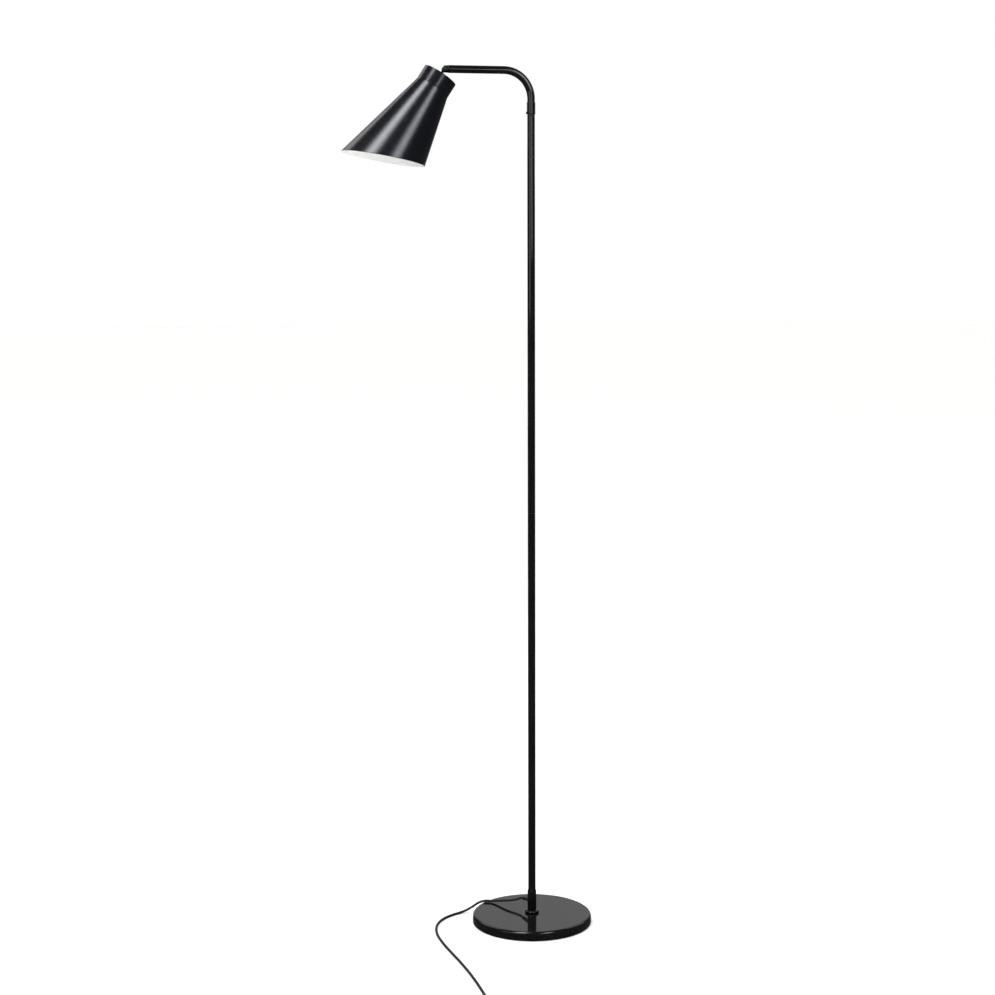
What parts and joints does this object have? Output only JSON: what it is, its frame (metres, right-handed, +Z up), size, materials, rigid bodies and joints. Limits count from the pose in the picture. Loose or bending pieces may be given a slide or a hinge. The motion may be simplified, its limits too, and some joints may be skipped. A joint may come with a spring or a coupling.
{
  "type": "floor lamp",
  "caption": "Slender floor lamp with a round weighted base, a bent arm that swivels on the pole and a tilting cone shade with a slanted rim.",
  "frame": {"origin": "on the floor, at the centre of the base's underside, on the pole's axis", "axes": "+Z up along the pole, -X along the arm towards the shade, +Y away from the side the lead's coil lies on"},
  "size_m": [0.4303, 0.6534, 1.5],
  "materials": {
    "gloss_black_lacquer": "high-gloss black lacquer on steel",
    "shade_lacquer": "gloss black lacquer outside, satin white inside",
    "cast_iron": "as cast",
    "pad_rubber": "matt",
    "zinc_steel": "bright zinc plate",
    "black_screw": "black-oxide steel",
    "cord_pvc": "satin PVC sheath",
    "nylon": "natural nylon",
    "black_plastic": "semi-gloss moulded plastic",
    "steatite": "unglazed ceramic",
    "brass": "nickel-free brass",
    "opal_glass": "opal white"
  },
  "bodies": {
    "stand": {"base_cover": "gloss_black_lacquer", "base_weight": "cast_iron", "base_pad": "pad_rubber", "base_bolt_washer": "zinc_steel", "base_bolt": "zinc_steel", "foot_flange": "gloss_black_lacquer", "foot_ferrule": "gloss_black_lacquer", "cord_outlet_relief": "cord_pvc", "lower_pole": "gloss_black_lacquer", "upper_pole": "gloss_black_lacquer", "pole_joiner": "zinc_steel", "pole_cable": "cord_pvc", "swivel_spindle": "black_screw", "swivel_washer": "nylon", "swivel_nut": "zinc_steel", "foot_switch_base": "black_plastic", "foot_switch_cover": "black_plastic", "foot_switch_contact_block": "nylon", "foot_switch_spring": "zinc_steel", "foot_switch_inlet_relief": "cord_pvc", "foot_switch_outlet_relief": "cord_pvc", "plug_body": "black_plastic", "plug_pin_left": "brass", "plug_pin_right": "brass", "cord_lead": "cord_pvc", "cord_coil": "cord_pvc", "cord_middle": "cord_pvc", "cord_end": "cord_pvc"},
    "arm": {"arm_collar": "gloss_black_lacquer", "swivel_stop_screw": "black_screw", "arm_tube": "gloss_black_lacquer", "arm_cable": "cord_pvc", "arm_knuckle": "gloss_black_lacquer", "hinge_screw": "black_screw", "hinge_nut": "black_screw", "friction_washer_front": "nylon", "friction_washer_rear": "nylon"},
    "head": {"head_stem": "gloss_black_lacquer", "shade": "shade_lacquer", "shade_carrier": "gloss_black_lacquer", "stem_nut": "zinc_steel", "lampholder_cap": "black_plastic", "lampholder_body": "black_plastic", "lampholder_core": "steatite", "contact_sleeve": "brass", "centre_contact": "brass", "bulb_cap": "zinc_steel", "bulb_glass": "opal_glass"},
    "button": {"foot_switch_button": "black_plastic"}
  },
  "joints": [
    {"name": "arm_swivel", "type": "hinge", "parent": "stand", "child": "arm", "pos_m": [0, 0, 1.4208], "axis": [0, 0, 1], "range_deg": [-170, 170]},
    {"name": "head_tilt", "type": "hinge", "parent": "arm", "child": "head", "pos_m": [-0.149, 0, 1.4934], "axis": [0, 1, 0], "range_deg": [-32, 55]},
    {"name": "button_press", "type": "slide", "parent": "stand", "child": "button", "axis": [0, 0, -1], "range_m": [0, 0.003], "stiffness_N_per_m": 400, "springref_m": -0.002, "deforming": ["foot_switch_spring"]}
  ]
}
